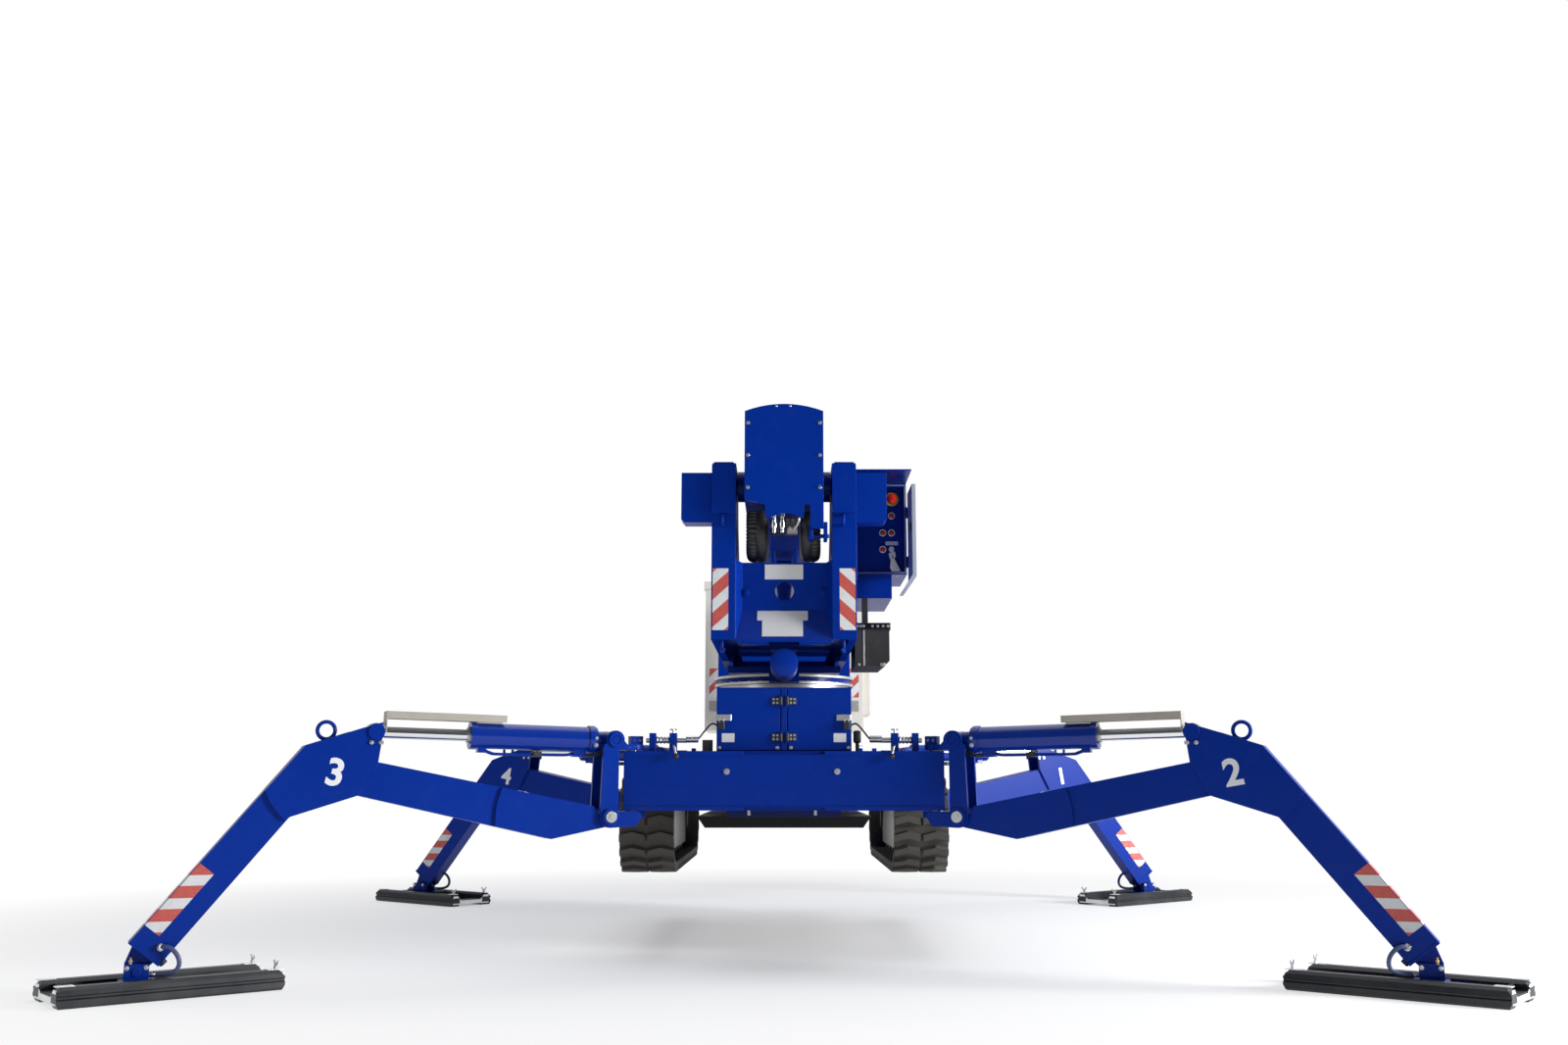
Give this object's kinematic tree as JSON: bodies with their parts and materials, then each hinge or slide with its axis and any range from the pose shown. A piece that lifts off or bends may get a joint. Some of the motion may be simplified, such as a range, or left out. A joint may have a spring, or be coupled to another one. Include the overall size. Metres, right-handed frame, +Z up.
{
  "type": "tracked spider boom lift",
  "caption": "Tracked spider boom lift standing on hinged outrigger legs, with a slewing turret, telescopic boom, jib and work basket.",
  "frame": {"origin": "on the floor, under the centre of the machine's bounding box", "axes": "+Z up, +Y along the boom towards the basket, +X to the right seen from the rear"},
  "size_m": [5.5214, 6.5468, 2.45],
  "materials": {
    "blue_paint": "glossy royal blue enamel",
    "dark_paint": "dark blue frame paint",
    "black_paint": "satin black",
    "track_rubber": "worn rubber",
    "steel": "machined steel",
    "chrome_rod": "polished chrome",
    "pad_rail": "moulded black",
    "black_plastic": "moulded black",
    "fibreglass": "pale moulded fibreglass"
  },
  "bodies": {
    "chassis": {"chassis_frame": "dark_paint", "rear_crossbeam": "blue_paint", "front_crossbeam": "blue_paint", "belly_pan": "black_paint", "pedestal": "blue_paint", "rear_cabinet": "blue_paint", "power_pack_hood": "blue_paint", "engine_block": "black_paint", "axle_beams": "black_paint", "track_frame_left": "black_paint", "track_frame_right": "black_paint", "track_left": "track_rubber", "track_right": "track_rubber", "swing_pins": "steel", "swing_locks": "blue_paint", "slewing_ring_lower": "steel"},
    "cabinet_door_left": {"rear_door_left": "blue_paint"},
    "cabinet_door_right": {"rear_door_right": "blue_paint"},
    "turret": {"turret_frame": "blue_paint", "slew_motor": "blue_paint", "control_cabinet": "blue_paint", "pivot_covers": "blue_paint", "battery_box": "black_plastic"},
    "panel_door": {"control_door": "blue_paint"},
    "lift_barrel": {"lift_cylinder_barrel": "blue_paint"},
    "lift_rod": {"lift_cylinder_rod": "chrome_rod"},
    "boom": {"boom_base": "blue_paint", "boom_end_cover": "blue_paint"},
    "boom_2": {"boom_section_2": "blue_paint"},
    "boom_3": {"boom_section_3": "blue_paint"},
    "boom_4": {"boom_section_4": "blue_paint"},
    "head": {"levelling_head": "blue_paint"},
    "jib_arm": {"jib": "blue_paint"},
    "basket_carrier": {"basket_bracket": "blue_paint"},
    "platform": {"basket": "fibreglass", "basket_controls": "black_plastic"},
    "bracket_rr": {"swing_bracket_rr": "blue_paint"},
    "outrigger_rr": {"leg_rr": "blue_paint", "pad_rr": "pad_rail", "foot_block_rr": "blue_paint"},
    "leg_barrel_rr": {"leg_cylinder_rr": "blue_paint"},
    "leg_piston_rr": {"leg_rod_rr": "chrome_rod"},
    "bracket_rl": {"swing_bracket_rl": "blue_paint"},
    "outrigger_rl": {"leg_rl": "blue_paint", "pad_rl": "pad_rail", "foot_block_rl": "blue_paint"},
    "leg_barrel_rl": {"leg_cylinder_rl": "blue_paint"},
    "leg_piston_rl": {"leg_rod_rl": "chrome_rod"},
    "bracket_fr": {"swing_bracket_fr": "blue_paint"},
    "outrigger_fr": {"leg_fr": "blue_paint", "pad_fr": "pad_rail", "foot_block_fr": "blue_paint"},
    "leg_barrel_fr": {"leg_cylinder_fr": "blue_paint"},
    "leg_piston_fr": {"leg_rod_fr": "chrome_rod"},
    "bracket_fl": {"swing_bracket_fl": "blue_paint"},
    "outrigger_fl": {"leg_fl": "blue_paint", "pad_fl": "pad_rail", "foot_block_fl": "blue_paint"},
    "leg_barrel_fl": {"leg_cylinder_fl": "blue_paint"},
    "leg_piston_fl": {"leg_rod_fl": "chrome_rod"}
  },
  "joints": [
    {"name": "slew", "type": "hinge", "parent": "chassis", "child": "turret", "pos_m": [0, -1.27659, 1.24], "axis": [0, 0, 1], "range_deg": [-180, 180]},
    {"name": "boom_lift", "type": "hinge", "parent": "turret", "child": "boom", "pos_m": [0, -1.99659, 2.128], "axis": [1, 0, 0], "range_deg": [0, 80]},
    {"name": "lift_barrel_turn", "type": "hinge", "parent": "turret", "child": "lift_barrel", "pos_m": [0, -1.70659, 1.4], "axis": [1, 0, 0], "range_deg": [-1, 62]},
    {"name": "lift_rod_slide", "type": "slide", "parent": "lift_barrel", "child": "lift_rod", "axis": [0, 0.8892, 0.4575], "range_m": [-0.01, 0.86]},
    {"name": "boom_extend", "type": "slide", "parent": "boom", "child": "boom_2", "axis": [0, 1, 0], "range_m": [0, 3]},
    {"name": "boom_extend_3", "type": "slide", "parent": "boom_2", "child": "boom_3", "axis": [0, 1, 0], "range_m": [-0.01, 3.01]},
    {"name": "boom_extend_4", "type": "slide", "parent": "boom_3", "child": "boom_4", "axis": [0, 1, 0], "range_m": [-0.01, 3.01]},
    {"name": "head_level", "type": "hinge", "parent": "boom_4", "child": "head", "pos_m": [0, 1.97341, 2.13], "axis": [1, 0, 0], "range_deg": [-81, 1]},
    {"name": "jib_lift", "type": "hinge", "parent": "head", "child": "jib_arm", "pos_m": [0, 2.07341, 2.04], "axis": [1, 0, 0], "range_deg": [0, 115]},
    {"name": "basket_level", "type": "hinge", "parent": "jib_arm", "child": "basket_carrier", "pos_m": [0, 2.15341, 1.30031], "axis": [1, 0, 0], "range_deg": [-116, 1]},
    {"name": "basket_turn", "type": "hinge", "parent": "basket_carrier", "child": "platform", "pos_m": [0, 2.35341, 1.372], "axis": [0, 0, 1], "range_deg": [-90, 90]},
    {"name": "cabinet_door_left_open", "type": "hinge", "parent": "chassis", "child": "cabinet_door_left", "pos_m": [-0.014, -2.18539, 1.06], "axis": [0, 0, 1], "range_deg": [0, 90]},
    {"name": "cabinet_door_right_open", "type": "hinge", "parent": "chassis", "child": "cabinet_door_right", "pos_m": [0.014, -2.18539, 1.06], "axis": [0, 0, -1], "range_deg": [0, 90]},
    {"name": "panel_door_close", "type": "hinge", "parent": "turret", "child": "panel_door", "pos_m": [0.606, -1.69059, 1.9], "axis": [0, 0, -1], "range_deg": [0, 90]},
    {"name": "leg_swing_rr", "type": "hinge", "parent": "chassis", "child": "bracket_rr", "pos_m": [0.66, -2.19659, 0.8], "axis": [0, 0, -1], "range_deg": [0, 66]},
    {"name": "leg_lift_rr", "type": "hinge", "parent": "bracket_rr", "child": "outrigger_rr", "pos_m": [0.7647, -2.24168, 0.644], "axis": [-0.3955, -0.9184, 0], "range_deg": [0, 60]},
    {"name": "leg_barrel_turn_rr", "type": "hinge", "parent": "bracket_rr", "child": "leg_barrel_rr", "pos_m": [0.74909, -2.23495, 0.966], "axis": [-0.3955, -0.9184, 0], "range_deg": [-1, 74]},
    {"name": "leg_rod_slide_rr", "type": "slide", "parent": "leg_barrel_rr", "child": "leg_piston_rr", "axis": [0.9182, -0.3954, 0.0221], "range_m": [-0.28, 0.01]},
    {"name": "leg_swing_rl", "type": "hinge", "parent": "chassis", "child": "bracket_rl", "pos_m": [-0.66, -2.19659, 0.8], "axis": [0, 0, 1], "range_deg": [0, 66]},
    {"name": "leg_lift_rl", "type": "hinge", "parent": "bracket_rl", "child": "outrigger_rl", "pos_m": [-0.7647, -2.24168, 0.644], "axis": [-0.3955, 0.9184, 0], "range_deg": [0, 60]},
    {"name": "leg_barrel_turn_rl", "type": "hinge", "parent": "bracket_rl", "child": "leg_barrel_rl", "pos_m": [-0.74909, -2.23495, 0.966], "axis": [-0.3955, 0.9184, 0], "range_deg": [-1, 74]},
    {"name": "leg_rod_slide_rl", "type": "slide", "parent": "leg_barrel_rl", "child": "leg_piston_rl", "axis": [-0.9182, -0.3954, 0.0221], "range_m": [-0.28, 0.01]},
    {"name": "leg_swing_fr", "type": "hinge", "parent": "chassis", "child": "bracket_fr", "pos_m": [0.66, 0.74341, 0.8], "axis": [0, 0, 1], "range_deg": [0, 66]},
    {"name": "leg_lift_fr", "type": "hinge", "parent": "bracket_fr", "child": "outrigger_fr", "pos_m": [0.7647, 0.78851, 0.644], "axis": [0.3955, -0.9184, 0], "range_deg": [0, 60]},
    {"name": "leg_barrel_turn_fr", "type": "hinge", "parent": "bracket_fr", "child": "leg_barrel_fr", "pos_m": [0.74909, 0.78178, 0.966], "axis": [0.3955, -0.9184, 0], "range_deg": [-1, 74]},
    {"name": "leg_rod_slide_fr", "type": "slide", "parent": "leg_barrel_fr", "child": "leg_piston_fr", "axis": [0.9182, 0.3954, 0.0221], "range_m": [-0.28, 0.01]},
    {"name": "leg_swing_fl", "type": "hinge", "parent": "chassis", "child": "bracket_fl", "pos_m": [-0.66, 0.74341, 0.8], "axis": [0, 0, -1], "range_deg": [0, 66]},
    {"name": "leg_lift_fl", "type": "hinge", "parent": "bracket_fl", "child": "outrigger_fl", "pos_m": [-0.7647, 0.78851, 0.644], "axis": [0.3955, 0.9184, 0], "range_deg": [0, 60]},
    {"name": "leg_barrel_turn_fl", "type": "hinge", "parent": "bracket_fl", "child": "leg_barrel_fl", "pos_m": [-0.74909, 0.78178, 0.966], "axis": [0.3955, 0.9184, 0], "range_deg": [-1, 74]},
    {"name": "leg_rod_slide_fl", "type": "slide", "parent": "leg_barrel_fl", "child": "leg_piston_fl", "axis": [-0.9182, 0.3954, 0.0221], "range_m": [-0.28, 0.01]}
  ],
  "couplings": [
    {"joint": "lift_barrel_turn", "follows": "boom_lift", "ratio": 0.7365},
    {"joint": "lift_rod_slide", "follows": "boom_lift", "m_per_rad": 0.6014},
    {"joint": "boom_extend_3", "follows": "boom_extend", "ratio": 1},
    {"joint": "boom_extend_4", "follows": "boom_extend", "ratio": 1},
    {"joint": "head_level", "follows": "boom_lift", "ratio": -1},
    {"joint": "basket_level", "follows": "jib_lift", "ratio": -1},
    {"joint": "leg_barrel_turn_rr", "follows": "leg_lift_rr", "ratio": 1.2024},
    {"joint": "leg_rod_slide_rr", "follows": "leg_lift_rr", "m_per_rad": -0.25575},
    {"joint": "leg_barrel_turn_rl", "follows": "leg_lift_rl", "ratio": 1.2024},
    {"joint": "leg_rod_slide_rl", "follows": "leg_lift_rl", "m_per_rad": -0.25575},
    {"joint": "leg_barrel_turn_fr", "follows": "leg_lift_fr", "ratio": 1.2024},
    {"joint": "leg_rod_slide_fr", "follows": "leg_lift_fr", "m_per_rad": -0.25575},
    {"joint": "leg_barrel_turn_fl", "follows": "leg_lift_fl", "ratio": 1.2024},
    {"joint": "leg_rod_slide_fl", "follows": "leg_lift_fl", "m_per_rad": -0.25575}
  ]
}
